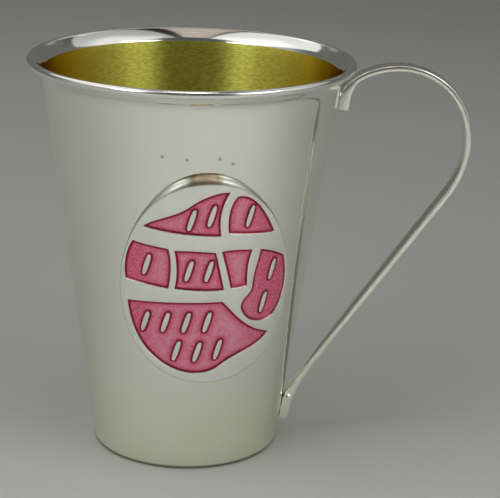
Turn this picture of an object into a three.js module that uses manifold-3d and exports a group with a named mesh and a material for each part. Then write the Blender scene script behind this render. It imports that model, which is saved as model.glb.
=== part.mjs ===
// A small silver kiddush cup: a tapered beaker with an out-turned lip, a bent strip handle
// and an oval medallion with enamel in sunk cells.
// Millimetres, +Z up. The origin is the centre of the foot, at the height it stands on. The handle points
// along +X and the medallion faces -Y, turned a little towards the handle.
import * as THREE from "three";
import { mergeVertices } from "three/addons/utils/BufferGeometryUtils.js";
import Module from "manifold-3d";

const wasm = await Module();
wasm.setup();

// ---- Driving dimensions ----

const HEIGHT = 81.4;
const RIM_RADIUS = 33; // outermost edge of the lip
const FOOT_RADIUS = 19.2; // outside of the wall, carried down to z = 0
const WALL_SLOPE = 0.1411; // growth of the wall's radius per millimetre of height
const WALL = 0.7;
const BOTTOM = 1; // thickness of the bottom, whose underside is flat
const FOOT_EDGE = 0.4; // rounding where the wall meets the underside
const INNER_CORNER = 2.2; // rounding between the inner wall and the bottom

const FLARE_START = 76.4; // height at which the wall begins to turn outwards
const LIP_THICKNESS = 1.6;
const LIP_ANGLE = THREE.MathUtils.degToRad(38); // of the lip's end above the horizontal
const CUP_SEGMENTS = 68;

const GAP = 0.3; // solder and bedding gap between neighbouring pieces

const STRIP_WIDTH = 4;
const STRIP = 1.2; // thickness of the handle's strip
const TAB = 1.8; // thickness of its ends with their solder
const STRIP_EDGE = 0.25; // softened edges of the strip
const TOP_TAB_FOOT = 71.6; // height of the upper end's foot
const LOW_TAB_FOOT = 4.2; // height of the lower end's foot

const PLATE_TURN = THREE.MathUtils.degToRad(8.6); // medallion's turn towards the handle
const PLATE_CENTRE = 42.7; // height of the medallion's centre
const PLATE_HALF_WIDTH = 17.1;
const PLATE_HALF_HEIGHT = 22.1;
const PLATE_EGG = 0.09; // how much narrower the oval is at the top, and wider below
const PLATE_TILT = THREE.MathUtils.degToRad(4.5); // its top leans away from the handle
const PLATE_SEGMENTS = 48;
const PLATE_FRONT = 1.8; // stand of the medallion's face off the wall
const PLATE_UPRIGHT = 0.75; // stand of the top of its upright edge
const PLATE_EDGE = 0.7; // width of the rounding above that, at the sides and below
const PLATE_TOP_EDGE = 1.1; // how much wider that rounding is at the top
const CELL_FLOOR = 0.8; // stand of the cells' floor off the wall
const ENAMEL_BACK = CELL_FLOOR + 0.25;
const ENAMEL_FRONT = 1.65;
const ENAMEL_GAP = 0.2; // between the enamel and its cell's sides
const STROKE_HALF_LENGTH = 2.2; // of the silver strokes standing in the enamel
const STROKE_HALF_WIDTH = 0.44;
const STROKE_SLANT = THREE.MathUtils.degToRad(14);
const OUTLINE_STEP = 2.1; // longest step between two points of a cell's outline

const SILVER = { color: 0xc4c6b9, roughness: 0.32, metalness: 1 };
const PLATE_SILVER = { color: 0xbfc3b6, roughness: 0.38, metalness: 1 };
const ENAMEL = { color: 0x9a2f4a, roughness: 0.25, metalness: 0 };

// ---- Helpers ----

const WALL_LEAN = Math.atan(WALL_SLOPE);
const wallRadius = (z) => FOOT_RADIUS + WALL_SLOPE * z;

function solid(geometry) {
  const bare = new THREE.BufferGeometry();
  bare.setAttribute("position", geometry.getAttribute("position"));
  bare.setIndex(geometry.index);
  const merged = mergeVertices(bare, 1e-4);
  return new wasm.Manifold(
    new wasm.Mesh({
      numProp: 3,
      vertProperties: new Float32Array(merged.attributes.position.array),
      triVerts: new Uint32Array(merged.index.array),
    }),
  );
}

function geometryOf(made) {
  const mesh = made.getMesh();
  const positions = new Float32Array(mesh.numVert * 3);
  for (let i = 0; i < mesh.numVert; i++) {
    const start = i * mesh.numProp;
    positions.set(mesh.vertProperties.subarray(start, start + 3), i * 3);
  }
  const geometry = new THREE.BufferGeometry();
  geometry.setAttribute("position", new THREE.BufferAttribute(positions, 3));
  geometry.setIndex(new THREE.BufferAttribute(new Uint32Array(mesh.triVerts), 1));
  geometry.computeVertexNormals();
  return geometry;
}

function named(name, geometry, look) {
  const mesh = new THREE.Mesh(geometry, new THREE.MeshStandardMaterial(look));
  mesh.name = name;
  return mesh;
}

// A profile of (radius, height) points turned about the Z axis.
function turned(profile, segments) {
  const points = profile.map(([radius, z]) => new THREE.Vector2(radius, z));
  return new THREE.LatheGeometry(points, segments).rotateX(Math.PI / 2);
}

// Points of a circular arc, both ends included. Angles are in radians from +X.
function arc(centreX, centreY, radius, from, to, steps) {
  return Array.from({ length: steps + 1 }, (_, i) => {
    const angle = from + ((to - from) * i) / steps;
    return [centreX + radius * Math.cos(angle), centreY + radius * Math.sin(angle)];
  });
}

function bezier(a, b, c, d, steps) {
  const curve = new THREE.CubicBezierCurve(
    ...[a, b, c, d].map(([x, y]) => new THREE.Vector2(x, y)),
  );
  return curve.getPoints(steps).map((p) => [p.x, p.y]);
}

// ---- Cup ----

// The outside from the flare's start to the lip's end, and the inside back down.
function lipProfile() {
  const half = LIP_THICKNESS / 2;
  const along = [Math.cos(LIP_ANGLE), Math.sin(LIP_ANGLE)];
  const end = [RIM_RADIUS - half, HEIGHT - half]; // centre of the lip's round edge
  const under = [end[0] + along[1] * half, end[1] - along[0] * half];
  const above = [end[0] - along[1] * half, end[1] + along[0] * half];
  const pull = 2;
  const back = (point) => [point[0] - along[0] * pull, point[1] - along[1] * pull];
  const outer = [wallRadius(FLARE_START), FLARE_START];
  const inner = [outer[0] - WALL, FLARE_START];
  const rise = (point) => [point[0] + WALL_SLOPE * pull, point[1] + pull];
  return [
    ...bezier(outer, rise(outer), back(under), under, 6),
    ...arc(end[0], end[1], half, LIP_ANGLE - Math.PI / 2, LIP_ANGLE + Math.PI / 2, 4).slice(1, -1),
    ...bezier(above, back(above), rise(inner), inner, 6),
  ];
}

function cupGeometry() {
  const footRadius = wallRadius(FOOT_EDGE);
  const insideRadius = wallRadius(BOTTOM + INNER_CORNER) - WALL;
  const foot = arc(footRadius - FOOT_EDGE, FOOT_EDGE, FOOT_EDGE, -Math.PI / 2, 0, 2);
  const corner = arc(
    insideRadius - INNER_CORNER,
    BOTTOM + INNER_CORNER,
    INNER_CORNER,
    0,
    -Math.PI / 2,
    3,
  );
  const profile = [[0, 0], ...foot, ...lipProfile(), ...corner, [0, BOTTOM]];
  return turned(profile, CUP_SEGMENTS);
}

// ---- Handle ----

// The strip's middle line, from the upper tab round the loop to the lower tab.
function handleLine() {
  const stand = (GAP + TAB / 2) / Math.cos(WALL_LEAN);
  const onWall = (z) => [wallRadius(z) + stand, z];
  const crown = [41.8, 63.7, 16.5]; // arc over the loop's inner half: centre x, z and radius
  const shoulder = [41.8, 65.6, 14.6]; // arc over its outer half
  const swell = [36.4, 65.6, 20]; // arc down its outer side
  const crownStart = THREE.MathUtils.degToRad(117);
  const swellEnd = THREE.MathUtils.degToRad(-35.5);
  const runEnd = [28.5, 19.9]; // where the straight run begins to steepen
  return [
    onWall(TOP_TAB_FOOT),
    ...bezier(onWall(74.6), [31.2, 76.1], [32.8, 77.7], arc(...crown, crownStart, 0, 1)[0], 4),
    ...arc(...crown, crownStart, Math.PI / 2, 5).slice(1),
    ...arc(...shoulder, Math.PI / 2, 0, 14).slice(1),
    ...arc(...swell, 0, swellEnd, 7).slice(1),
    ...bezier(runEnd, [25.6, 15.8], [22.9, 11.4], onWall(8.4), 6),
    onWall(LOW_TAB_FOOT),
  ];
}

// Thickness of the strip at a point: the ends are thicker, with a short taper.
function stripThickness(x, z) {
  const stand = x - wallRadius(z);
  return THREE.MathUtils.lerp(TAB, STRIP, THREE.MathUtils.smoothstep(stand, 1.4, 2.8));
}

function handleGeometry() {
  const line = handleLine().map(([x, z]) => new THREE.Vector2(x, z));
  const left = [];
  const right = [];
  line.forEach((point, i) => {
    const before = line[Math.max(i - 1, 0)];
    const after = line[Math.min(i + 1, line.length - 1)];
    const across = after.clone().sub(before).normalize().rotateAround(new THREE.Vector2(), Math.PI / 2);
    const half = stripThickness(point.x, point.y) / 2 - STRIP_EDGE;
    left.push(point.clone().addScaledVector(across, half));
    right.push(point.clone().addScaledVector(across, -half));
  });
  const outline = new THREE.Shape([...left, ...right.reverse()]);
  const geometry = new THREE.ExtrudeGeometry(outline, {
    depth: STRIP_WIDTH - 2 * STRIP_EDGE,
    bevelThickness: STRIP_EDGE,
    bevelSize: STRIP_EDGE,
    bevelSegments: 1,
  });
  geometry.translate(0, 0, -STRIP_WIDTH / 2 + STRIP_EDGE);
  return geometry.rotateX(Math.PI / 2);
}

// ---- Medallion ----
// Its drawing plane has x along the wall, to the right of the medallion's middle, and y up
// from its centre. The third coordinate is the stand off the wall.

function wrap(across, up, stand) {
  const z = PLATE_CENTRE + up;
  const radius = wallRadius(z) + stand * Math.cos(WALL_LEAN);
  const turn = PLATE_TURN + across / wallRadius(z);
  return new THREE.Vector3(
    radius * Math.sin(turn),
    -radius * Math.cos(turn),
    z - stand * Math.sin(WALL_LEAN),
  );
}

function wrapped(geometry) {
  const positions = geometry.getAttribute("position");
  for (let i = 0; i < positions.count; i++) {
    const point = wrap(positions.getX(i), positions.getY(i), positions.getZ(i));
    positions.setXYZ(i, point.x, point.y, point.z);
  }
  return geometry;
}

// A thick shell round the wall, between two stands.
function wallShell(from, to) {
  const [low, high] = [PLATE_CENTRE - 30, PLATE_CENTRE + 30];
  const at = (stand, z) => [wallRadius(z) + stand / Math.cos(WALL_LEAN), z];
  const profile = [at(from, low), at(to, low), at(to, high), at(from, high), at(from, low)];
  return solid(turned(profile, PLATE_SEGMENTS));
}

// The oval plate with its rounded edge, which is widest at the top: a drum drawn out to the
// oval and drawn in towards its front. It runs past the plate's faces, which the shell cuts.
function plateBlank() {
  const top = PLATE_FRONT + 2;
  const stands = [0, PLATE_UPRIGHT, THREE.MathUtils.lerp(PLATE_UPRIGHT, PLATE_FRONT, 0.6), PLATE_FRONT];
  const profile = [[0, 0], ...stands.map((stand) => [1, stand]), [1, top], [0, top]];
  const drum = turned(profile, PLATE_SEGMENTS);
  const positions = drum.getAttribute("position");
  for (let i = 0; i < positions.count; i++) {
    const [x, y, stand] = [positions.getX(i), positions.getY(i), positions.getZ(i)];
    const rise = (stand - PLATE_UPRIGHT) / (PLATE_FRONT - PLATE_UPRIGHT);
    const rounding = 1 - Math.sqrt(1 - THREE.MathUtils.clamp(rise, 0, 1) ** 2);
    const width = PLATE_EDGE + PLATE_TOP_EDGE * Math.max(y, 0) ** 6;
    const scale = 1 - (rounding * width) / PLATE_HALF_HEIGHT;
    const oval = new THREE.Vector2(
      x * scale * PLATE_HALF_WIDTH * (1 - PLATE_EGG * y),
      y * scale * PLATE_HALF_HEIGHT,
    ).rotateAround(new THREE.Vector2(), PLATE_TILT);
    positions.setXYZ(i, oval.x, oval.y, stand);
  }
  return solid(wrapped(drum)).intersect(wallShell(GAP, PLATE_FRONT));
}

// A closed outline carried straight through the plate, along the wall's normals.
function through(points) {
  const [inside, outside] = [-3, 14];
  const shape = new THREE.Shape(points);
  const prism = new THREE.ExtrudeGeometry(shape, { depth: outside - inside, bevelEnabled: false });
  return solid(wrapped(prism.translate(0, 0, inside)));
}

// Each point of a closed outline moved in by a distance.
function inset(points, distance) {
  const turn = THREE.ShapeUtils.isClockWise(points) ? -1 : 1;
  const count = points.length;
  return points.map((point, i) => {
    const a = point.clone().sub(points[(i + count - 1) % count]).normalize();
    const b = points[(i + 1) % count].clone().sub(point).normalize();
    const inward = new THREE.Vector2(-a.y - b.y, a.x + b.x).multiplyScalar(turn);
    const reach = Math.max(inward.length() / 2, 0.4);
    return point.clone().addScaledVector(inward.normalize(), distance / reach);
  });
}

// A slanted stroke of silver left standing in the enamel: blunt ends and a fuller middle.
function stroke([x, y], extra) {
  const along = new THREE.Vector2(Math.sin(STROKE_SLANT), Math.cos(STROKE_SLANT));
  const across = new THREE.Vector2(along.y, -along.x);
  const outline = [[-1, 0.62], [0, 1], [1, 0.62]];
  const ring = [...outline, ...outline.map(([t, half]) => [t, -half]).reverse()];
  const length = STROKE_HALF_LENGTH + extra;
  return ring.map(([t, half]) =>
    new THREE.Vector2(x, y)
      .addScaledVector(along, t * length)
      .addScaledVector(across, half * STROKE_HALF_WIDTH + Math.sign(half) * extra),
  );
}

// The cells: an outline of curves in millimetres, and the middles of the strokes in them.
const CELLS = {
  enamel_sweep: {
    start: [-12.4, 11.6],
    curves: [
      [-10.1, 13.5, -6.8, 13.8, -4.2, 15.9],
      [-2.2, 17.6, 0.4, 19, 3.1, 18.9],
      [1.6, 16.2, 1.2, 12.9, 1.9, 9.9],
      [-2.9, 10.2, -7.7, 10.5, -12.4, 11.6],
    ],
    strokes: [[-3.6, 13.3], [0, 14.1]],
  },
  enamel_crown: {
    start: [4.5, 17.9],
    curves: [
      [7.9, 18.8, 10.7, 13.6, 12.5, 9.8],
      [9.4, 9.8, 6.2, 10.1, 3.2, 10.5],
      [2.9, 13.1, 3, 16, 4.5, 17.9],
    ],
    strokes: [[7.2, 13.7]],
  },
  enamel_row_1: {
    start: [-14.3, 8.4],
    curves: [
      [-12.2, 7.8, -9.8, 7.6, -7.6, 7.2],
      [-6.8, 4.6, -6.9, 1.6, -7.3, -1.1],
      [-10, -0.8, -12.7, -0.3, -15.5, 0.1],
      [-16.1, 2.9, -15.6, 6, -14.3, 8.4],
    ],
    strokes: [[-11.5, 3.6]],
  },
  enamel_row_2: {
    start: [-6.5, 6.9],
    curves: [
      [-4, 7, -1.5, 6.8, 1, 6.5],
      [1.7, 4, 2.2, 1.2, 2.9, -1.5],
      [-0.2, -1.6, -3.2, -1.4, -6.2, -1.1],
      [-5.7, 1.6, -5.9, 4.4, -6.5, 6.9],
    ],
    strokes: [[-3.7, 2.7], [-0.1, 2.6]],
  },
  enamel_row_3: {
    start: [2.1, 6.7],
    curves: [
      [4, 7, 6, 6.9, 8, 6.6],
      [7.2, 4.2, 7.1, 1.6, 7.3, -0.9],
      [6.3, -1.1, 5.2, -1.2, 4.1, -1.2],
      [3.5, 1.5, 2.8, 4.2, 2.1, 6.7],
    ],
    strokes: [],
  },
  enamel_row_4: {
    start: [9.7, 6.5],
    curves: [
      [11.6, 6.1, 13.6, 5.3, 15.2, 4.2],
      [16.4, 0.7, 16.4, -3.6, 14.6, -6.8],
      [13, -10.3, 7.2, -9.9, 6.3, -5.6],
      [6.2, -3.4, 8.3, -3.2, 8.4, -1.2],
      [8.4, 1.8, 9.5, 4.1, 9.7, 6.5],
    ],
    strokes: [[12.6, 1.7], [11, -5.2]],
  },
  enamel_crescent: {
    start: [-15, -4.5],
    curves: [
      [-9.1, -4.1, -3.1, -4, 2.7, -4],
      [5.2, -6.8, 7.4, -10.6, 12.6, -11.9],
      [9.9, -15.2, 5.9, -15, 2.9, -17.8],
      [0.2, -20, -2.9, -19.6, -5.3, -18.7],
      [-10.6, -16.6, -14.2, -11.3, -15, -4.5],
    ],
    strokes: [
      [-11.4, -8.6], [-7.6, -8.5], [-3.8, -8.4], [0, -8.3],
      [-5.4, -14.6], [-1.6, -14.8], [2.2, -14.4],
    ],
  },
};

// The outline's points, closer together than the outline step.
function outlineOf({ start, curves }) {
  const shape = new THREE.Shape().moveTo(...start);
  curves.forEach((curve) => shape.bezierCurveTo(...curve));
  return shape.curves.flatMap((curve) =>
    curve.getSpacedPoints(Math.ceil(curve.getLength() / OUTLINE_STEP)).slice(1),
  );
}

// A cell's space between two stands off the wall, drawn in by a gap on every side.
function cellSolid(cell, from, to, gap) {
  const block = through(inset(outlineOf(cell), gap));
  const strokes = cell.strokes.map((middle) => through(stroke(middle, gap)));
  const cut = strokes.reduce((left, piece) => left.subtract(piece), block);
  return cut.intersect(wallShell(from, to));
}

function medallionSolid() {
  const cells = Object.values(CELLS).map((cell) => cellSolid(cell, CELL_FLOOR, PLATE_FRONT + 1, 0));
  return cells.reduce((plate, cell) => plate.subtract(cell), plateBlank());
}

// ---- Assembly ----

const kiddushCup = new THREE.Group();
kiddushCup.add(named("cup", cupGeometry(), SILVER));
kiddushCup.add(named("handle", handleGeometry(), SILVER));
kiddushCup.add(named("medallion", geometryOf(medallionSolid()), PLATE_SILVER));
for (const [name, cell] of Object.entries(CELLS)) {
  const fill = cellSolid(cell, ENAMEL_BACK, ENAMEL_FRONT, ENAMEL_GAP);
  kiddushCup.add(named(name, geometryOf(fill), ENAMEL));
}

export default kiddushCup;
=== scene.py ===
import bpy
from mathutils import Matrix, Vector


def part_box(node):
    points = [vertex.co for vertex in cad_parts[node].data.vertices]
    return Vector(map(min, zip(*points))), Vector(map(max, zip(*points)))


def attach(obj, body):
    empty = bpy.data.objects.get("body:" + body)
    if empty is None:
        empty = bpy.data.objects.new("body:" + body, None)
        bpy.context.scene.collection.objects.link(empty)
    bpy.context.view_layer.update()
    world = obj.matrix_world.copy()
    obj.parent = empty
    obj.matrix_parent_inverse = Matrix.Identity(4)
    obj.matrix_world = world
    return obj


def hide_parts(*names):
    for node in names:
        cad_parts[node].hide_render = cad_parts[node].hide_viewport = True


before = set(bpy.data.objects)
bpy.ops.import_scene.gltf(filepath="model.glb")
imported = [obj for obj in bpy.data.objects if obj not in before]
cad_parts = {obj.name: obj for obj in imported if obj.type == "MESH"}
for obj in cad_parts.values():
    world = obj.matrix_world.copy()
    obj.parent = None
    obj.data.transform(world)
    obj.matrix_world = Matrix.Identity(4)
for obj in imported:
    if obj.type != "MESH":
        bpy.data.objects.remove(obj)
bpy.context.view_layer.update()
CUP_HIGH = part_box("cup")[1]

import math

import bmesh
import bpy
import numpy as np
from bpy.props import FloatProperty, FloatVectorProperty, IntProperty, PointerProperty
from mathutils import Vector
from mathutils.geometry import delaunay_2d_cdt

bl_info = {
    "name": "Kiddush Cup",
    "version": (1, 0, 0),
    "blender": (4, 5, 0),
    "location": "View3D > Sidebar > Kiddush Cup",
    "description": "Builds a silver kiddush cup with a strip handle and an enamelled medallion",
    "category": "Object",
}

MM = 0.001
BODY = "root"


# ---- Sizes and finishes ----


def length(name, default, description):
    return FloatProperty(name=name, default=default, description=description, unit="LENGTH", precision=4)


def angle(name, degrees, description):
    return FloatProperty(
        name=name, default=math.radians(degrees), description=description, subtype="ANGLE"
    )


def share(name, default, description):
    return FloatProperty(
        name=name, default=default, min=0, max=1, description=description, subtype="FACTOR"
    )


def colour(name, default, description):
    return FloatVectorProperty(
        name=name, default=default, size=3, min=0, max=1, description=description, subtype="COLOR"
    )


class CupSizes(bpy.types.PropertyGroup):
    height: length("Height", CUP_HIGH.z, "From the table to the top of the lip")
    rim_radius: length("Rim radius", CUP_HIGH.x, "Outermost edge of the lip")
    foot_radius: length("Foot radius", 19.2 * MM, "Outside of the wall, carried down to the table")
    slope: FloatProperty(name="Slope", default=0.1411, description="Growth of the radius with height")
    wall: length("Wall", 0.7 * MM, "Thickness of the wall")
    bottom: length("Bottom", 1 * MM, "Thickness of the bottom")
    foot_edge: length("Foot edge", 0.4 * MM, "Rounding where the wall meets the underside")
    inner_corner: length("Inner corner", 2.2 * MM, "Rounding between the bottom and the wall inside")
    flare_start: length("Flare start", 76.4 * MM, "Height at which the wall turns outwards")
    lip: length("Lip", 1.6 * MM, "Thickness of the lip behind its rounded edge")
    lip_round: length("Lip rounding", 0.95 * MM, "Length of the lip's rounded edge")
    lip_angle: angle("Lip angle", 38, "Slope of the lip's end above the horizontal")
    gilding_line: length("Gilding line", 78.95 * MM, "Height at which the gilding inside ends")
    segments: IntProperty(name="Segments", default=256, min=24, description="Facets round the cup")


class HandleSizes(bpy.types.PropertyGroup):
    width: length("Width", 4 * MM, "Width of the strip")
    strip: length("Strip", 1.2 * MM, "Thickness of the strip")
    tab: length("Tab", 1.8 * MM, "Thickness of its soldered ends")
    gap: length("Gap", 0.3 * MM, "Solder between the strip and the wall")
    edge: length("Edge", 0.3 * MM, "Rounding of the strip's edges")
    top_foot: length("Top end", 71.6 * MM, "Height of the upper end's foot")
    low_foot: length("Low end", 4.2 * MM, "Height of the lower end's foot")
    step: length("Step", 0.6 * MM, "Spacing of the sections along the strip")


class MedallionSizes(bpy.types.PropertyGroup):
    turn: angle("Turn", 8.6, "Turn of the medallion round the cup, towards the handle")
    tilt: angle("Tilt", 4.5, "Lean of its top away from the handle")
    centre: length("Centre", 42.7 * MM, "Height of its centre")
    half_width: length("Half width", 17.1 * MM, "Half the width of the oval")
    half_height: length("Half height", 22.1 * MM, "Half the height of the oval")
    egg: FloatProperty(name="Egg", default=0.09, description="How much narrower the oval is at its top")
    back: length("Back", 0.06 * MM, "Stand of its back off the wall")
    front: length("Front", 1.8 * MM, "Stand of its face off the wall")
    upright: length("Upright", 0.3 * MM, "Stand of the top of its upright edge")
    side_edge: length("Side edge", 0.7 * MM, "Width of the rounding at the sides and below")
    top_edge: length("Top edge", 1.1 * MM, "How much wider the rounding is at the top")
    cell_floor: length("Cell floor", 0.8 * MM, "Stand of the cells' floor")
    enamel: length("Enamel", 1.65 * MM, "Stand of the enamel's surface")
    meniscus: length("Meniscus", 0.16 * MM, "How far the enamel dips along its edges")
    stroke_length: length("Stroke length", 4.4 * MM, "Length of the silver strokes in the enamel")
    stroke_width: length("Stroke width", 0.88 * MM, "Width of the silver strokes")
    stroke_slant: angle("Stroke slant", 14, "Lean of the strokes")


class Finishes(bpy.types.PropertyGroup):
    silver: colour("Silver", (0.93, 0.958, 0.86), "Polished silver")
    tarnish: colour("Tarnish", (0.95, 0.985, 0.72), "Silver yellowed towards the foot")
    plate: colour("Plate", (0.97, 0.98, 0.94), "Silver of the medallion")
    gold: colour("Gilding", (0.78, 0.81, 0.17), "Brushed gilding inside the cup")
    # Painted reflection: the deeper orange that the gilding shows at a glancing angle, painted onto its
    # left and right ends.
    painted_gold_glance: colour("Gilding at the sides", (0.75, 0.52, 0.035), "Gilding to the left and right")
    gold_edge: colour("Gilding edge", (0.55, 0.15, 0.0), "Gilding at a glancing angle")
    enamel: colour("Enamel", (1.0, 0.38, 0.54), "Enamel in the middle of a cell")
    # Partly painted shade: the rim colour stands for the enamel's deeper colour along a cell's sides and
    # for the shade of the cell walls.
    enamel_rim_and_shade: colour("Enamel rim", (0.42, 0.01, 0.05), "Enamel along the sides of a cell")
    floor: colour("Floor", (0.565, 0.572, 0.555), "Table and backdrop")
    body_roughness: share("Body roughness", 0.06, "Roughness of the cup's outside")
    gold_roughness: share("Gilding roughness", 0.4, "Roughness of the gilding")
    plate_roughness: share("Plate roughness", 0.18, "Roughness of the medallion")
    enamel_roughness: share("Enamel roughness", 0.35, "Roughness of the enamel under its gloss")


class StageSettings(bpy.types.PropertyGroup):
    camera_place: FloatVectorProperty(
        name="Camera place",
        default=(0, -0.334705, 0.148111),
        size=3,
        description="Where the camera stands",
        subtype="TRANSLATION",
        unit="LENGTH",
    )
    camera_turn: FloatVectorProperty(
        name="Camera turn",
        default=[math.radians(a) for a in (72.28456, -1.70273, -1.63240)],
        size=3,
        description="How the camera is turned",
        subtype="EULER",
    )
    lens: FloatProperty(name="Lens", default=121.946, description="Focal length on a 36 mm sensor, in mm")
    key: FloatProperty(name="Key", default=1, description="Brightness of the light boxes")
    sky: FloatProperty(name="Sky", default=0.13, description="Brightness of the room round the cup")
    walls: FloatProperty(name="Walls", default=0.42, description="Brightness of the tent's side walls")


PROPERTY_GROUPS = {
    "kiddush_cup": CupSizes,
    "kiddush_handle": HandleSizes,
    "kiddush_medallion": MedallionSizes,
    "kiddush_finishes": Finishes,
    "kiddush_stage": StageSettings,
}


# ---- Curves ----


def arc(centre, radius, start, end, steps):
    """Points of a circular arc, both ends included; its angles are in degrees."""
    angles = np.radians(np.linspace(start, end, steps + 1))
    return [(centre[0] + radius * math.cos(a), centre[1] + radius * math.sin(a)) for a in angles]


def bezier(a, b, c, d, steps):
    """Points of a cubic curve from a to d, pulled towards b and c."""
    a, b, c, d = (np.array(p, float) for p in (a, b, c, d))
    points = []
    for t in np.linspace(0, 1, steps + 1):
        s = 1 - t
        points.append(tuple(s**3 * a + 3 * s * s * t * b + 3 * s * t * t * c + t**3 * d))
    return points


def resample(points, step):
    """Points along an open line with an even spacing near the step, both ends included."""
    line = np.array(points, float)
    run = np.concatenate([[0], np.cumsum(np.linalg.norm(np.diff(line, axis=0), axis=1))])
    count = max(int(round(run[-1] / step)), 2)
    at = np.linspace(0, run[-1], count + 1)
    return np.stack([np.interp(at, run, line[:, i]) for i in range(line.shape[1])], 1)


def smooth_step(value, low, high):
    t = np.clip((value - low) / (high - low), 0, 1)
    return t * t * (3 - 2 * t)


# ---- Meshes ----


def make_piece(name, made, materials, replaced, sharp=38):
    """An object from a bmesh, riding on the cup and standing for the frame's nodes."""
    mesh = bpy.data.meshes.new(name)
    made.to_mesh(mesh)
    made.free()
    for material in materials:
        mesh.materials.append(material)
    mesh.shade_smooth()
    mesh.set_sharp_from_angle(angle=math.radians(sharp))
    piece = bpy.data.objects.new(name, mesh)
    bpy.context.scene.collection.objects.link(piece)
    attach(piece, BODY)
    if replaced:
        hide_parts(*replaced)


def quads_between(made, ring_a, ring_b):
    """The band of faces between two closed rings of as many vertices."""
    count = len(ring_a)
    return [
        made.faces.new((ring_a[i], ring_a[(i + 1) % count], ring_b[(i + 1) % count], ring_b[i]))
        for i in range(count)
    ]


def turned(profile, segments):
    """A profile of (radius, height) points turned about Z, from the axis back to the axis.

    The bands of faces it returns lie between the profile's second point and its last.
    """
    made = bmesh.new()
    turns = np.linspace(0, 2 * math.pi, segments, endpoint=False)
    low = made.verts.new((0, 0, profile[0][1]))
    high = made.verts.new((0, 0, profile[-1][1]))
    rings = [
        [made.verts.new((radius * math.cos(t), radius * math.sin(t), z)) for t in turns]
        for radius, z in profile[1:-1]
    ]
    bands = [quads_between(made, a, b) for a, b in zip(rings, rings[1:])]
    for i in range(segments):
        j = (i + 1) % segments
        made.faces.new((low, rings[0][j], rings[0][i]))
        bands[-1].append(made.faces.new((high, rings[-1][i], rings[-1][j])))
    return made, bands


# ---- Cup ----

# The pull on the lip's curves, and how far its rounded edge turns each way, in degrees.
LIP_PULL = 2 * MM
LIP_SWEEP = 80
LIP_STEPS = 16
FLARE_STEPS = 20
WALL_STEPS = 40


def wall_radius(z):
    """The outside of the cup's straight wall at a height."""
    cup = bpy.context.scene.kiddush_cup
    return cup.foot_radius + cup.slope * z


def lip_profile(cup):
    """The outside from the flare's start over the lip's round edge and the inside back down."""
    half, reach = cup.lip / 2, cup.lip_round
    along = np.array([math.cos(cup.lip_angle), math.sin(cup.lip_angle)])
    over = np.array([-along[1], along[0]])
    size = np.hypot(along * reach, over * half)
    end = np.array([cup.rim_radius, cup.height]) - size
    under, above = end - over * half, end + over * half
    edge = [
        tuple(end + along * reach * math.cos(t) + over * half * math.sin(t))
        for t in np.radians(np.linspace(-LIP_SWEEP, LIP_SWEEP, LIP_STEPS + 1))
    ]
    outer = np.array([wall_radius(cup.flare_start), cup.flare_start])
    inner = outer - np.array([cup.wall, 0])
    rise = np.array([cup.slope * LIP_PULL, LIP_PULL])
    return [
        *bezier(outer, outer + rise, under - along * LIP_PULL, under, FLARE_STEPS),
        *edge,
        *bezier(above, above - along * LIP_PULL, inner + rise, inner, FLARE_STEPS),
    ]


def cup_profile(cup):
    """The whole section, from the middle of the underside to the middle of the inner floor."""
    foot_radius = wall_radius(cup.foot_edge)
    foot = arc((foot_radius - cup.foot_edge, cup.foot_edge), cup.foot_edge, -90, 0, 6)
    heights = np.linspace(cup.foot_edge, cup.flare_start, WALL_STEPS)[1:-1]
    wall = [(wall_radius(z), z) for z in heights]
    top = cup.bottom + cup.inner_corner
    inside = wall_radius(top) - cup.wall
    heights = np.linspace(cup.flare_start, top, WALL_STEPS)[1:-1]
    inner = [(wall_radius(z) - cup.wall, z) for z in heights]
    corner = arc((inside - cup.inner_corner, top), cup.inner_corner, 0, -90, 8)
    return [(0, 0), *foot, *wall, *lip_profile(cup), *inner, *corner, (0, cup.bottom)]


def build_cup(scene):
    """The cup, silver outside and over the lip, gilded inside below the gilding line."""
    cup = scene.kiddush_cup
    profile = cup_profile(cup)
    made, bands = turned(profile, cup.segments)
    past_rim = False
    for (_, start), (radius, end), band in zip(profile[1:], profile[2:], bands):
        past_rim = past_rim or radius >= cup.rim_radius - cup.lip / 4
        gilded = past_rim and end < start <= cup.gilding_line
        for face in band:
            face.material_index = 1 if gilded else 0
    make_piece("cup_body", made, [silver_material(), gilding_material()], ["cup"])


# ---- Handle ----

# The strip thickens to its tabs between these distances from the wall.
TAB_NEAR = 1.4 * MM
TAB_FAR = 2.8 * MM
# What is left between a tab's solder and the wall.
SOLDER_GAP = 0.05 * MM


def handle_line(handle):
    """The strip's middle line from its upper end to its lower one, as (x, z)."""
    lean = math.atan(bpy.context.scene.kiddush_cup.slope)
    stand = (handle.gap + handle.tab / 2) / math.cos(lean)

    def on_wall(z):
        return (wall_radius(z) + stand, z)

    def mm(*values):
        return tuple(value * MM for value in values)

    crown, shoulder, swell = mm(41.8, 63.7), mm(41.8, 65.6), mm(36.4, 65.6)
    crown_radius, shoulder_radius, swell_radius = mm(16.5, 14.6, 20)
    crown_start, swell_end = 117, -35.5
    crown_arc = arc(crown, crown_radius, crown_start, 90, 12)
    run_end = mm(28.5, 19.9)
    return [
        on_wall(handle.top_foot),
        *bezier(on_wall(74.6 * MM), mm(31.2, 76.1), mm(32.8, 77.7), crown_arc[0], 16),
        *crown_arc[1:],
        *arc(shoulder, shoulder_radius, 90, 0, 40)[1:],
        *arc(swell, swell_radius, 0, swell_end, 24)[1:],
        *bezier(run_end, mm(25.6, 15.8), mm(22.9, 11.4), on_wall(8.4 * MM), 20),
        on_wall(handle.low_foot),
    ]


def strip_section(outward, inward, half_width, corner):
    """A rounded rectangle, as (across, sideways) points."""
    section = []
    for across, sideways, start in (
        (outward - corner, half_width - corner, 0),
        (-inward + corner, half_width - corner, 90),
        (-inward + corner, -half_width + corner, 180),
        (outward - corner, -half_width + corner, 270),
    ):
        section += arc((across, sideways), corner, start, start + 90, 3)
    return section


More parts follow.
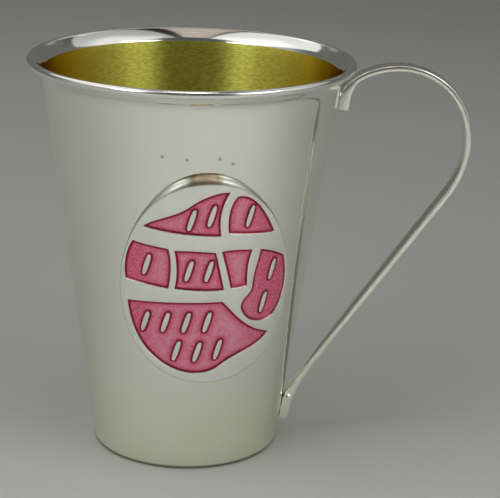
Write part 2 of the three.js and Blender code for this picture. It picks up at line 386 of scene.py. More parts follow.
def strip_stations(count):
    """Each section's place along the line and its size, which shrinks at both soft ends."""
    last = count - 1
    ends = [0.55, 0.85, 1]
    middle = [(i, 1) for i in range(1, last)]
    return [*[(0, size) for size in ends], *middle, *[(last, size) for size in reversed(ends)]]


def build_handle(scene):
    """The strip, thicker where its ends lie along the wall, with rounded edges and soft ends."""
    handle = scene.kiddush_handle
    line = resample(handle_line(handle), handle.step)
    tangents = np.gradient(line, axis=0)
    tangents /= np.linalg.norm(tangents, axis=1)[:, None]
    made = bmesh.new()
    rings = []
    for i, size in strip_stations(len(line)):
        x, z = line[i]
        tangent = tangents[i]
        away = np.array([-tangent[1], tangent[0]])
        near = 1 - smooth_step(x - wall_radius(z), TAB_NEAR, TAB_FAR)
        half = (handle.strip + (handle.tab - handle.strip) * near) / 2
        inward = half + near * (handle.gap - SOLDER_GAP)
        trim = handle.edge * (1 - size)
        reach = handle.edge * (1 - math.sqrt(1 - (1 - size) ** 2))
        centre = line[i] + tangent * (reach if i == 0 else -reach)
        section = strip_section(
            half - trim, inward - trim, handle.width / 2 - trim, handle.edge * size
        )
        rings.append(
            [
                made.verts.new((centre[0] + away[0] * across, sideways, centre[1] + away[1] * across))
                for across, sideways in section
            ]
        )
    for a, b in zip(rings, rings[1:]):
        quads_between(made, a, b)
    made.faces.new(rings[0])
    made.faces.new(rings[-1])
    bmesh.ops.recalc_face_normals(made, faces=made.faces)
    make_piece("handle_strip", made, [handle_material()], ["handle"], sharp=50)


def build_solder(scene):
    """The bead on the lower bend's front edge, the run beneath it and the seams behind both ends."""
    drops = (
        # place along x, y and z, radii along them, share of its depth kept, lean along the wall
        ((21.75, -1.92, 9.3), (0.74, 0.74, 0.74), 0.42, 0),
        ((21.2, -1.75, 6.6), (0.42, 0.3, 1.7), 1, 0),
        ((20.28, 0, 6.4), (0.5, 1.8, 2.1), 1, 0.14),
        ((29.78, 0, 73.5), (0.4, 1.4, 1.8), 1, 0.14),
    )
    facing = Vector((0.29, -0.8, 0.53)).normalized()
    waviness = 0.16
    made = bmesh.new()
    for (x, y, z), radii, kept, lean in drops:
        start = len(made.verts)
        bmesh.ops.create_icosphere(made, subdivisions=4, radius=1)
        made.verts.ensure_lookup_table()
        for vertex in made.verts[start:]:
            point = vertex.co
            wave = 1 + waviness * math.sin(3 * point.z + x) * (1 - point.z * point.z)
            point = Vector((point.x * radii[0] * wave, point.y * radii[1], point.z * radii[2]))
            point -= facing * point.dot(facing) * (1 - kept)
            vertex.co = (point + Vector((x + lean * point.z, y, z))) * MM
    make_piece("solder_drops", made, [handle_material()], [], sharp=80)


# ---- Medallion ----
# Its drawing plane is in millimetres: x along the wall and y up, from the oval's centre.

OUTLINE_STEP = 0.3
OVAL_POINTS = 220
STROKE_POINTS = 40
STROKE_BLUNTNESS = 0.6
MITRE_LIMIT = 0.45
# The soft edge round the cells and strokes, and the gap between the plate and the enamel.
SOFT_CUT = 0.1
FILL_GAP = 0.02
# Spacing of the inner points of each kind of face, and how they keep off its outlines.
TRIANGLE_HEIGHT = 0.866
GRID_CLEARANCE = 0.55
BAND_CLEARANCE = 0.9
PLATE_GRID = 0.7
FLOOR_GRID = 1.2
STROKE_GRID = 0.6
FILL_GRID = 0.45
FILL_BACK_GRID = 1.5
FILL_BANDS = (0.12, 0.26, 0.42, 0.62)

# A cell's outline is a closed chain of cubic curves, each given by its two pulls and its end.
CELLS = {
    "enamel_sweep": {
        "curves": [
            (-10.1, 13.5, -6.8, 13.8, -4.2, 15.9),
            (-2.2, 17.6, 0.4, 19, 3.1, 18.9),
            (1.6, 16.2, 1.2, 12.9, 1.9, 9.9),
            (-2.9, 10.2, -7.7, 10.5, -12.4, 11.6),
        ],
        "strokes": [(-3.6, 13.3), (0, 14.1)],
    },
    "enamel_crown": {
        "curves": [
            (7.9, 18.8, 10.7, 13.6, 12.5, 9.8),
            (9.4, 9.8, 6.2, 10.1, 3.2, 10.5),
            (2.9, 13.1, 3, 16, 4.5, 17.9),
        ],
        "strokes": [(7.2, 13.7)],
    },
    "enamel_row_1": {
        "curves": [
            (-12.2, 7.8, -9.8, 7.6, -7.6, 7.2),
            (-6.8, 4.6, -6.9, 1.6, -7.3, -1.1),
            (-10, -0.8, -12.7, -0.3, -15.5, 0.1),
            (-16.1, 2.9, -15.6, 6, -14.3, 8.4),
        ],
        "strokes": [(-11.5, 3.6)],
    },
    "enamel_row_2": {
        "curves": [
            (-4, 7, -1.5, 6.8, 1, 6.5),
            (1.7, 4, 2.2, 1.2, 2.9, -1.5),
            (-0.2, -1.6, -3.2, -1.4, -6.2, -1.1),
            (-5.7, 1.6, -5.9, 4.4, -6.5, 6.9),
        ],
        "strokes": [(-3.7, 2.7), (-0.1, 2.6)],
    },
    "enamel_row_3": {
        "curves": [
            (4, 7, 6, 6.9, 8, 6.6),
            (7.2, 4.2, 7.1, 1.6, 7.3, -0.9),
            (6.3, -1.1, 5.2, -1.2, 4.1, -1.2),
            (3.5, 1.5, 2.8, 4.2, 2.1, 6.7),
        ],
        "strokes": [],
    },
    "enamel_row_4": {
        "curves": [
            (11.6, 6.1, 13.6, 5.3, 15.2, 4.2),
            (16.4, 0.7, 16.4, -3.6, 14.6, -6.8),
            (13, -10.3, 7.2, -9.9, 6.3, -5.6),
            (6.2, -3.4, 8.3, -3.2, 8.4, -1.2),
            (8.4, 1.8, 9.5, 4.1, 9.7, 6.5),
        ],
        "strokes": [(12.6, 1.7), (11, -5.2)],
    },
    "enamel_crescent": {
        "curves": [
            (-9.1, -4.1, -3.1, -4, 2.7, -4),
            (5.2, -6.8, 7.4, -10.6, 12.6, -11.9),
            (9.9, -15.2, 5.9, -15, 2.9, -17.8),
            (0.2, -20, -2.9, -19.6, -5.3, -18.7),
            (-10.6, -16.6, -14.2, -11.3, -15, -4.5),
        ],
        "strokes": [(-11.4, -8.6), (-7.6, -8.5), (-3.8, -8.4), (0, -8.3)]
        + [(-5.4, -14.6), (-1.6, -14.8), (2.2, -14.4)],
    },
}


def wrap(plate, across, up, stand):
    """A point of the drawing plane laid on the wall, at a stand off it; stand is in metres."""
    lean = math.atan(bpy.context.scene.kiddush_cup.slope)
    z = plate.centre + up * MM
    radius = wall_radius(z) + stand * math.cos(lean)
    turn = plate.turn + across * MM / wall_radius(z)
    return (radius * math.sin(turn), -radius * math.cos(turn), z - stand * math.sin(lean))


def cell_outline(cell):
    """A cell's closed outline, with even points along each of its curves."""
    points = []
    start = cell["curves"][-1][4:]
    for curve in cell["curves"]:
        ends = [start, curve[:2], curve[2:4], curve[4:]]
        start = curve[4:]
        points += [tuple(p) for p in resample(bezier(*ends, 60), OUTLINE_STEP)[:-1]]
    return np.array(points)


def stroke_outline(plate, middle, extra=0.0):
    """A slanted silver stroke: a slim oval with blunt ends."""
    along = np.array([math.sin(plate.stroke_slant), math.cos(plate.stroke_slant)])
    across = np.array([along[1], -along[0]])
    half_length = plate.stroke_length / 2 / MM + extra
    half_width = plate.stroke_width / 2 / MM + extra
    points = []
    for t in np.radians(np.linspace(0, 360, STROKE_POINTS, endpoint=False)):
        width = abs(math.sin(t)) ** STROKE_BLUNTNESS * math.copysign(1, math.sin(t))
        points.append(np.array(middle) + along * math.cos(t) * half_length + across * width * half_width)
    return np.array(points)


def signed_area(points):
    """A closed outline's area, negative where it runs clockwise."""
    x, y = points[:, 0], points[:, 1]
    return 0.5 * float(np.sum(x * np.roll(y, -1) - np.roll(x, -1) * y))


def offset(points, distance):
    """Each point of a closed outline moved inwards by a distance."""
    turn = 1 if signed_area(points) > 0 else -1
    before = points - np.roll(points, 1, axis=0)
    after = np.roll(points, -1, axis=0) - points
    before = before / np.linalg.norm(before, axis=1)[:, None]
    after = after / np.linalg.norm(after, axis=1)[:, None]
    inward = turn * np.stack([-before[:, 1] - after[:, 1], before[:, 0] + after[:, 0]], 1)
    size = np.linalg.norm(inward, axis=1)
    reach = np.maximum(size / 2, MITRE_LIMIT)
    return points + inward / np.maximum(size, 1e-9)[:, None] * (distance / reach)[:, None]


def distance_to(points, loops):
    """Distance from each point to the nearest of several closed outlines."""
    best = np.full(len(points), np.inf)
    for loop in loops:
        for a, b in zip(loop, np.roll(loop, -1, axis=0)):
            span = b - a
            t = np.clip((points - a) @ span / max(span @ span, 1e-12), 0, 1)
            best = np.minimum(best, np.linalg.norm(points - a - t[:, None] * span, axis=1))
    return best


def inside(points, loop):
    """Whether each point lies inside a closed outline."""
    x, y = points[:, 0], points[:, 1]
    within = np.zeros(len(points), bool)
    for (x0, y0), (x1, y1) in zip(loop, np.roll(loop, -1, axis=0)):
        crosses = (y0 > y) != (y1 > y)
        at = (x1 - x0) * (y - y0) / (y1 - y0 if y1 != y0 else 1) + x0
        within ^= crosses & (x < at)
    return within


def between(points, outer, holes):
    """Whether each point lies inside an outline and outside its holes."""
    keep = inside(points, outer)
    for hole in holes:
        keep &= ~inside(points, hole)
    return keep


def filled(outer, holes, spacing, bands=()):
    """Triangles over the area inside an outline and outside its holes.

    Inner points lie on a grid of even triangles, and in bands that follow the outlines.
    """
    loops = [outer, *holes]
    low, high = outer.min(0), outer.max(0)
    columns = np.arange(low[0], high[0], spacing)
    rows = np.arange(low[1], high[1], spacing * TRIANGLE_HEIGHT)
    grid = np.array([(x + (i % 2) * spacing / 2, y) for i, y in enumerate(rows) for x in columns])
    groups = [(grid, max(bands, default=0) + spacing * GRID_CLEARANCE)]
    for distance in bands:
        for loop in loops:
            inwards = distance if loop is outer else -distance
            groups.append((offset(loop, inwards), distance * BAND_CLEARANCE))
    points = [tuple(p) for loop in loops for p in loop]
    edges = []
    start = 0
    for loop in loops:
        count = len(loop)
        edges += [(start + i, start + (i + 1) % count) for i in range(count)]
        start += count
    for group, least in groups:
        group = group[between(group, outer, holes)]
        points += [tuple(p) for p in group[distance_to(group, loops) >= least]]
    made = delaunay_2d_cdt([Vector(p) for p in points], edges, [], 0, 1e-6)
    found = np.array([tuple(v) for v in made[0]])
    triangles = np.array([tuple(face) for face in made[2]])
    return found, triangles[between(found[triangles].mean(1), outer, holes)]


class PlateMesh:
    """Gathers the faces of a mesh drawn in the medallion's plane.

    Its attribute "rim" is 1 at the foot of the plate's edge and along the enamel's sides, and
    falls to 0 inwards; the materials paint shade with it, wholly on the plate's edge and partly on the
    enamel.
    """

    def __init__(self, plate):
        self.plate = plate
        self.made = bmesh.new()
        self.rim = self.made.verts.layers.float.new("rim")

    def vertex(self, point, stand, rim=0.0):
        vertex = self.made.verts.new(wrap(self.plate, point[0], point[1], stand))
        vertex[self.rim] = rim
        return vertex

    def area(self, outer, holes, spacing, stand, bands=(), rim=None):
        """A filled area; stand and rim are functions of each point's distance from its outlines."""
        points, triangles = filled(outer, holes, spacing, bands)
        distances = distance_to(points, [outer, *holes])
        stands = stand(distances)
        rims = rim(distances) if rim else np.zeros(len(points))
        vertices = [self.vertex(p, s, r) for p, s, r in zip(points, stands, rims)]
        for a, b, c in triangles:
            self.made.faces.new((vertices[a], vertices[b], vertices[c]))

    def walls(self, rings, rims=None):
        """Quads between closed outlines of equal length, each with its stand."""
        rims = rims or [0] * len(rings)
        made = [
            [self.vertex(p, stand, rim) for p in points] for (points, stand), rim in zip(rings, rims)
        ]
        for a, b in zip(made, made[1:]):
            quads_between(self.made, a, b)

    def finished(self):
        bmesh.ops.remove_doubles(self.made, verts=self.made.verts, dist=2e-6)
        bmesh.ops.recalc_face_normals(self.made, faces=self.made.faces)
        return self.made


def flat(stand):
    """The same stand for every point of an area."""
    return lambda distances: np.full(len(distances), stand)


def oval_ring(plate, rise_angle):
    """The oval's outline at an angle of its rounded edge, and that outline's stand."""
    rounding = 1 - math.cos(rise_angle)
    points = []
    for t in np.linspace(0, 2 * math.pi, OVAL_POINTS, endpoint=False):
        x, y = math.cos(t), math.sin(t)
        width = plate.side_edge + plate.top_edge * max(y, 0) ** 6
        scale = 1 - rounding * width / plate.half_height
        u = x * scale * plate.half_width * (1 - plate.egg * y) / MM
        v = y * scale * plate.half_height / MM
        cos, sin = math.cos(plate.tilt), math.sin(plate.tilt)
        points.append((u * cos - v * sin, u * sin + v * cos))
    stand = plate.upright + (plate.front - plate.upright) * math.sin(rise_angle)
    return np.array(points), stand


def build_medallion(scene):
    """The oval plate with its rounded edge, its sunk cells and the strokes that stand in them."""
    plate = scene.kiddush_medallion
    drawn = PlateMesh(plate)
    rings = [oval_ring(plate, a) for a in np.radians(np.linspace(0, 90, 9))]
    base = (rings[0][0], plate.back)
    drawn.walls([base, *rings], [1, *np.linspace(1, 0, len(rings))])
    outlines = {name: cell_outline(cell) for name, cell in CELLS.items()}
    holes = [offset(points, -SOFT_CUT) for points in outlines.values()]
    drawn.area(rings[-1][0], holes, PLATE_GRID, flat(plate.front))
    drawn.area(base[0], [], FLOOR_GRID, flat(plate.back))
    edge, shoulder = plate.front - 0.07 * MM, plate.front - 0.02 * MM
    for hole, (name, points) in zip(holes, outlines.items()):
        drawn.walls(
            [
                (hole, plate.front),
                (offset(points, -SOFT_CUT * 0.3), shoulder),
                (points, edge),
                (points, plate.cell_floor),
            ]
        )
        strokes = [stroke_outline(plate, middle) for middle in CELLS[name]["strokes"]]
        drawn.area(points, strokes, FLOOR_GRID, flat(plate.cell_floor))
        for stroke in strokes:
            top = offset(stroke, SOFT_CUT)
            drawn.walls(
                [
                    (stroke, plate.cell_floor),
                    (stroke, edge),
                    (offset(stroke, SOFT_CUT * 0.7), shoulder),
                    (top, plate.front),
                ]
            )
            drawn.area(top, [], STROKE_GRID, flat(plate.front))
    made = drawn.finished()
    make_piece("medallion_plate", made, [plate_material()], ["medallion"], sharp=48)


def build_enamel(scene, name):
    """One cell's enamel, which dips along its sides and darkens there, partly in its own colour and
    partly with painted shade.
    """
    plate = scene.kiddush_medallion
    cell = CELLS[name]
    outer = offset(cell_outline(cell), FILL_GAP)
    strokes = [stroke_outline(plate, middle, FILL_GAP) for middle in cell["strokes"]]
    back = plate.cell_floor + FILL_GAP * MM
    dip_width = 0.35
    dark_width, faint_width = 0.45, 1.6

    def surface(distances):
        return plate.enamel - plate.meniscus * np.exp(-distances / dip_width)

    def rim(distances):
        dark = np.exp(-((distances / dark_width) ** 2))
        faint = np.exp(-((distances / faint_width) ** 2))
        return 0.7 * dark + 0.3 * faint

    drawn = PlateMesh(plate)
    drawn.area(outer, strokes, FILL_GRID, surface, FILL_BANDS, rim)
    drawn.area(outer, strokes, FILL_BACK_GRID, flat(back))
    for loop in [outer, *strokes]:
        drawn.walls([(loop, back), (loop, plate.enamel - plate.meniscus)], [1, 1])
    piece_name = name.replace("enamel_", "fill_")
    make_piece(piece_name, drawn.finished(), [enamel_material()], [name], sharp=60)


# ---- Nodes ----


def feed(tree, socket, value):
    """Links a socket to another one, or sets its value."""
    if isinstance(value, bpy.types.NodeSocket):
        tree.links.new(value, socket)
    else:
        socket.default_value = value


def add(tree, kind, inputs=None, **values):
    """A node with its inputs fed by their socket's name and its properties set by name."""
    node = tree.nodes.new(kind)
    for key, value in (inputs or {}).items():
        feed(tree, node.inputs[key], value)
    for key, value in values.items():
        setattr(node, key, value)
    return node


def maths(tree, operation, *values):
    node = add(tree, "ShaderNodeMath", operation=operation)
    for socket, value in zip(node.inputs, values):
        feed(tree, socket, value)
    return node.outputs[0]


def plus(tree, a, b):
    return maths(tree, "ADD", a, b)


def times(tree, a, b):
    return maths(tree, "MULTIPLY", a, b)


def spread(tree, value, low, high, to_low=0.0, to_high=1.0):
    """A value's soft step from to_low at low to to_high at high; low may be the greater one."""
    node = add(
        tree,
        "ShaderNodeMapRange",
        inputs={"Value": value, "From Min": low, "From Max": high, "To Min": to_low, "To Max": to_high},
        interpolation_type="SMOOTHSTEP",
    )
    return node.outputs["Result"]


def mixed(tree, factor, a, b):
    """Two colours mixed by a factor; each of them is a socket or a triple."""
    node = add(tree, "ShaderNodeMix", data_type="RGBA")
    feed(tree, node.inputs[0], factor)
    for socket, value in ((node.inputs[6], a), (node.inputs[7], b)):
        feed(tree, socket, value if isinstance(value, bpy.types.NodeSocket) else (*value, 1))
    return node.outputs[2]


def object_place(tree):
    """The place on the object, in its own coordinates."""
    return tree.nodes.new("ShaderNodeTexCoord").outputs["Object"]


def parts_of(tree, vector):
    return add(tree, "ShaderNodeSeparateXYZ", inputs={"Vector": vector}).outputs


def noise(tree, vector, scale, detail):
    node = add(tree, "ShaderNodeTexNoise", inputs={"Vector": vector, "Scale": scale, "Detail": detail})
    return node.outputs["Fac"]


def squeezed_noise(tree, squeeze, scale, detail, turn=(0, 0, 0)):
    """Noise over the object, squeezed along each axis by its own factor and then turned."""
    inputs = {"Vector": object_place(tree), "Rotation": turn, "Scale": squeeze}
    mapped = add(tree, "ShaderNodeMapping", inputs=inputs).outputs["Vector"]
    return noise(tree, mapped, scale, detail)


def near_point(tree, point, far, close):
    """A value that rises from 0 at one distance from a point to 1 at a smaller one, all in mm."""
    away = add(tree, "ShaderNodeVectorMath", operation="DISTANCE")
    feed(tree, away.inputs[0], object_place(tree))
    feed(tree, away.inputs[1], [c * MM for c in point])
    return spread(tree, away.outputs["Value"], far * MM, close * MM)


def rim_attribute(tree):
    return add(tree, "ShaderNodeAttribute", attribute_name="rim").outputs["Fac"]


# ---- Node groups ----


def new_group(name, inputs, outputs):
    """An empty node group with float inputs and outputs, and its two ends."""
    group = bpy.data.node_groups.new(name, "ShaderNodeTree")
    for socket, default in inputs.items():
        made = group.interface.new_socket(name=socket, in_out="INPUT", socket_type="NodeSocketFloat")
        made.default_value = default
    for socket in outputs:
        group.interface.new_socket(name=socket, in_out="OUTPUT", socket_type="NodeSocketFloat")
    return group, group.nodes.new("NodeGroupInput").outputs, group.nodes.new("NodeGroupOutput").inputs


def streaks_group():
    """Soft streaks that run up the wall: a value from 0 to 1."""
    name = "Upright streaks"
    if name in bpy.data.node_groups:
        return bpy.data.node_groups[name]
    group, given, result = new_group(name, {"Scale": 1, "Softness": 0.5}, ["Streaks"])
    fine = squeezed_noise(group, (150, 150, 9), given["Scale"], 3)
    broad = squeezed_noise(group, (45, 45, 6), given["Scale"], 1)
    fine_part = times(group, fine, maths(group, "SUBTRACT", 1.0, given["Softness"]))
    broad_part = times(group, broad, given["Softness"])
    group.links.new(spread(group, plus(group, fine_part, broad_part), 0.3, 0.7), result["Streaks"])
    return group


def brushing_group():
    """Lines and short dashes brushed round the cup: heights from 0 to 1."""
    name = "Brushing"
    if name in bpy.data.node_groups:
        return bpy.data.node_groups[name]
    group, given, result = new_group(name, {"Scale": 1}, ["Lines", "Dashes"])
    fine = squeezed_noise(group, (35, 35, 2600), given["Scale"], 2)
    broad = squeezed_noise(group, (70, 70, 900), given["Scale"], 2)
    short = squeezed_noise(group, (900, 900, 3200), given["Scale"], 2)
    group.links.new(times(group, plus(group, fine, broad), 0.5), result["Lines"])
    group.links.new(spread(group, short, 0.35, 0.65), result["Dashes"])
    return group


def wear_group():
    """Handling marks: hairline scratches as a height, and dull clouds as a mask."""
    name = "Wear"
    if name in bpy.data.node_groups:
        return bpy.data.node_groups[name]
    given_scales = {"Scratch scale": 1, "Cloud scale": 1}
    group, given, result = new_group(name, given_scales, ["Scratches", "Clouds"])
    flat_lines = squeezed_noise(group, (160, 2200, 2200), given["Scratch scale"], 2, (0.4, 0.2, 0.9))
    steep_lines = squeezed_noise(group, (2400, 190, 1900), given["Scratch scale"], 2, (1.1, 0.7, 2.1))
    scratches = [spread(group, lines, 0.66, 0.74) for lines in (flat_lines, steep_lines)]
    group.links.new(maths(group, "MAXIMUM", *scratches), result["Scratches"])
    clouds = squeezed_noise(group, (90, 90, 60), given["Cloud scale"], 5)
    group.links.new(spread(group, clouds, 0.35, 0.7), result["Clouds"])
    return group


def placed(tree, group, **inputs):
    """A node group placed in a tree with its own values; gives its outputs."""
    node = tree.nodes.new("ShaderNodeGroup")
    node.node_tree = group
    for key, value in inputs.items():
        node.inputs[key.replace("_", " ")].default_value = value
    return node.outputs


# ---- Materials ----

STREAKED_SILVER = (0.82, 0.82, 0.72)
# Painted shadow: a dark line on the foot's edge, standing for its reflection of the contact shadow.
PAINTED_FOOT_SHADOW = (0.22, 0.22, 0.17)
SPECK_TINT = (0.25, 0.25, 0.2)
CLOUDED_GOLD = (0.76, 0.66, 0.12)
DASHED_GOLD = (0.50, 0.43, 0.05)
HANDLE_SILVER = (1, 1, 0.94)
CLOUDED_HANDLE = (0.88, 0.86, 0.74)
CLOUDED_PLATE = (0.80, 0.80, 0.72)
# Painted shade: the darker colour of the plate's rounded edge towards the wall.
PLATE_EDGE_SHADE_PAINT = (0.42, 0.42, 0.37)
# Painted reflection: brown and tan, standing for the pinkish light panel overhead reflected in the top of
# the plate's rounded edge.
REFLECTION_BROWN_PAINT = (0.42, 0.33, 0.18)
REFLECTION_TAN_PAINT = (1.0, 0.80, 0.58)
# Partly painted: the enamel's own mottled deeper colour, and painted shade at the cells' sides and
# towards the medallion's left and right.
DEEPER_AND_SHADED_ENAMEL = (0.92, 0.11, 0.27)
ENAMEL_GRAIN = (1.0, 0.60, 0.72)

# Places on the object, in millimetres.
SPECKS = ((-5.3, -28.3, 67.9), (-0.6, -28.7, 67.5), (5.5, -28.2, 67.7), (8, -27.5, 66.6))
# Middle of the painted reflection on the top of the medallion's rounded edge.
BEVEL_REFLECTION_SPOT = (2.9, -29.1, 63.6)


def principled(name, **uniform):
    """A material with its Principled shader, whose uniform values are set on its sockets."""
    if name in bpy.data.materials:
        return bpy.data.materials[name], None, None
    material = bpy.data.materials.new(name)
    material.use_nodes = True
    tree = material.node_tree
    shader = next(node for node in tree.nodes if node.type == "BSDF_PRINCIPLED")
    for key, value in uniform.items():
        shader.inputs[key.replace("_", " ")].default_value = value
    return material, tree, shader.inputs


def dress(tree, sockets, tint, rough, relief, strength, depth=0.02 * MM):
    """Feeds a Principled shader its colour, its roughness and the bumps of a height."""
    inputs = {"Height": relief, "Strength": strength, "Distance": depth}
    bumps = add(tree, "ShaderNodeBump", inputs=inputs).outputs["Normal"]
    for name, value in (("Base Color", tint), ("Roughness", rough), ("Normal", bumps)):
        tree.links.new(value, sockets[name])


def silver_material():
    """The cup's silver: streaked, yellower to the foot, with a painted shadow line along the foot and a
    few specks.
    """
    material, tree, sockets = principled("Cup silver", Metallic=1.0)
    if not tree:
        return material
    finish = bpy.context.scene.kiddush_finishes
    height = parts_of(tree, object_place(tree))["Z"]
    streaks = placed(tree, streaks_group(), Scale=1.0, Softness=0.6)["Streaks"]
    wear = placed(tree, wear_group(), Scratch_scale=1.0, Cloud_scale=1.0)
    low = spread(tree, height, 26 * MM, 4 * MM)
    dull = times(tree, low, spread(tree, wear["Clouds"], 0.0, 1.0, 0.55, 1.0))
    lip = spread(tree, height, 77.5 * MM, 79 * MM)
    # Painted shadow: the lowest rounding of the foot is darkened for the contact shadow it reflects.
    foot = spread(tree, height, 0.9 * MM, 0.35 * MM, 0, 0.85)
    specks = [near_point(tree, speck, 0.5, 0.15) for speck in SPECKS]
    speckled = specks[0]
    for speck in specks[1:]:
        speckled = maths(tree, "MAXIMUM", speckled, speck)
    tint = mixed(tree, times(tree, streaks, 0.07), finish.silver, STREAKED_SILVER)
    tint = mixed(tree, times(tree, dull, 0.6), tint, finish.tarnish)
    tint = mixed(tree, lip, tint, finish.plate)
    tint = mixed(tree, foot, tint, PAINTED_FOOT_SHADOW)
    tint = mixed(tree, times(tree, speckled, 0.7), tint, SPECK_TINT)
    rough = plus(tree, finish.body_roughness, times(tree, streaks, 0.03))
    rough = plus(tree, rough, times(tree, dull, 0.08))
    rough = times(tree, rough, spread(tree, height, 76.5 * MM, 78.5 * MM, 1.0, 1.3))
    relief = plus(tree, times(tree, wear["Scratches"], -0.15), times(tree, streaks, 0.5))
    dress(tree, sockets, tint, rough, relief, 0.12)
    return material


def gilding_material():
    """The gilding: brushed round the cup, so that lights draw upright bands on it, with a painted deeper
    orange of glancing reflections at its left and right ends.
    """
    material, tree, sockets = principled(
        "Brushed gilding", Metallic=1.0, Anisotropic=1.0, Anisotropic_Rotation=0.25
    )
    if not tree:
        return material
    finish = bpy.context.scene.kiddush_finishes
    sockets["Specular Tint"].default_value = (*finish.gold_edge, 1)
    lines = placed(tree, brushing_group(), Scale=1.0)
    wear = placed(tree, wear_group(), Scratch_scale=0.8, Cloud_scale=2.0)
    across = maths(tree, "ABSOLUTE", parts_of(tree, object_place(tree))["X"])
    # Painted reflection: deeper orange towards the left and right ends of the gilding, standing for its
    # glancing reflections.
    aside = spread(tree, across, 14 * MM, 27 * MM, 0, 0.85)
    tint = mixed(tree, times(tree, wear["Clouds"], 0.35), finish.gold, CLOUDED_GOLD)
    tint = mixed(tree, times(tree, lines["Dashes"], 0.5), tint, DASHED_GOLD)
    tint = mixed(tree, aside, tint, finish.painted_gold_glance)
    rough = plus(tree, finish.gold_roughness, times(tree, lines["Lines"], 0.06))
    relief = plus(tree, times(tree, lines["Lines"], 0.15), lines["Dashes"])
    dress(tree, sockets, tint, rough, relief, 0.4, 0.03 * MM)
    tangent = add(tree, "ShaderNodeTangent", direction_type="RADIAL", axis="Z")
    tree.links.new(tangent.outputs["Tangent"], sockets["Tangent"])
    return material


def handle_material():
    """The handle's silver: bright, with duller clouds and hairline scratches."""
    material, tree, sockets = principled("Handle silver", Metallic=1.0)
    if not tree:
        return material
    wear = placed(tree, wear_group(), Scratch_scale=1.4, Cloud_scale=3.0)
    tint = mixed(tree, times(tree, wear["Clouds"], 0.3), HANDLE_SILVER, CLOUDED_HANDLE)
    rough = spread(tree, wear["Clouds"], 0, 1, 0.09, 0.18)
    dress(tree, sockets, tint, rough, wear["Scratches"], 0.15)
    return material


def plate_material():
    """The medallion's silver, with painted shade along its rounded edge and a painted brown and tan
    reflection on the edge's top.
    """
    material, tree, sockets = principled("Medallion silver", Metallic=1.0)
    if not tree:
        return material
    finish = bpy.context.scene.kiddush_finishes
    wear = placed(tree, wear_group(), Scratch_scale=1.2, Cloud_scale=4.0)
    grainy = noise(tree, object_place(tree), 2600, 3)
    edge = rim_attribute(tree)
    # Painted reflection on the top of the rounded edge: a brown patch with a tan middle.
    painted_brown_reflection = times(tree, near_point(tree, BEVEL_REFLECTION_SPOT, 3.8, 2.4), spread(tree, edge, 0.02, 0.2))
    painted_tan_reflection = times(tree, near_point(tree, BEVEL_REFLECTION_SPOT, 2.4, 1.6), spread(tree, edge, 0.25, 0.45))
    tint = mixed(tree, times(tree, wear["Clouds"], 0.25), finish.plate, CLOUDED_PLATE)
    # Painted shade: the rounded edge darkens towards its foot, where it meets the wall.
    tint = mixed(tree, spread(tree, edge, 0.02, 0.3, 0, 0.55), tint, PLATE_EDGE_SHADE_PAINT)
    tint = mixed(tree, times(tree, painted_brown_reflection, 0.8), tint, REFLECTION_BROWN_PAINT)
    tint = mixed(tree, painted_tan_reflection, tint, REFLECTION_TAN_PAINT)
    rough = plus(tree, finish.plate_roughness, times(tree, grainy, 0.06))
    rough = plus(tree, rough, spread(tree, edge, 0.0, 0.3, 0, 0.16))
    dress(tree, sockets, tint, rough, grainy, 0.18)
    return material


def enamel_material():
    """Clear enamel over silver: grainy, darker at the cells' sides, partly its own deeper colour and
    partly painted shade, and with painted shade to the left and right.
    """
    material, tree, sockets = principled(
        "Magenta enamel", Metallic=0.85, Coat_Weight=0.4, Coat_Roughness=0.06
    )
    if not tree:
        return material
    finish = bpy.context.scene.kiddush_finishes
    place = object_place(tree)
    rim = rim_attribute(tree)
    mottle = noise(tree, place, 620, 4)
    grainy = noise(tree, place, 2800, 2)
    # Painted shade: the enamel darkens with its distance sideways from the medallion's middle, where the
    # cup's wall turns from the light.
    medallion_middle = 2.5 * MM
    aside = maths(tree, "SUBTRACT", parts_of(tree, place)["X"], medallion_middle)
    aside = maths(tree, "ABSOLUTE", aside)
    # depth gathers the enamel's mottled tone, the partly painted shade at the cells' sides and the
    # painted shade to the left and right.
    depth = times(tree, spread(tree, mottle, 0.4, 0.65), 0.5)
    depth = maths(tree, "MAXIMUM", depth, spread(tree, rim, 0.03, 0.32, 0.0, 0.8))
    depth = maths(tree, "MAXIMUM", depth, spread(tree, aside, 5 * MM, 12.5 * MM, 0.0, 0.9))
    body = mixed(tree, depth, finish.enamel, DEEPER_AND_SHADED_ENAMEL)
    body = mixed(tree, spread(tree, grainy, 0.45, 0.7, 0, 0.45), body, ENAMEL_GRAIN)
    # Partly painted shade: the cells' sides turn to the rim colour, part the enamel's own deeper colour
    # along its edges and part the shade of the cell walls.
    body = mixed(tree, spread(tree, rim, 0.33, 0.8), body, finish.enamel_rim_and_shade)
    rough = plus(tree, finish.enamel_roughness, times(tree, grainy, 0.15))
    dress(tree, sockets, body, rough, grainy, 0.1)
    return material


def floor_material():
    """The table, pale with faint clouds."""
    material, tree, sockets = principled("Pale table", Roughness=0.9)
    if not tree:
        return material
    finish = bpy.context.scene.kiddush_finishes
    darker = tuple(c * 0.97 for c in finish.floor)
    cloud = noise(tree, object_place(tree), 18, 2)
    tree.links.new(mixed(tree, cloud, finish.floor, darker), sockets["Base Color"])
    return material


# ---- Stage ----


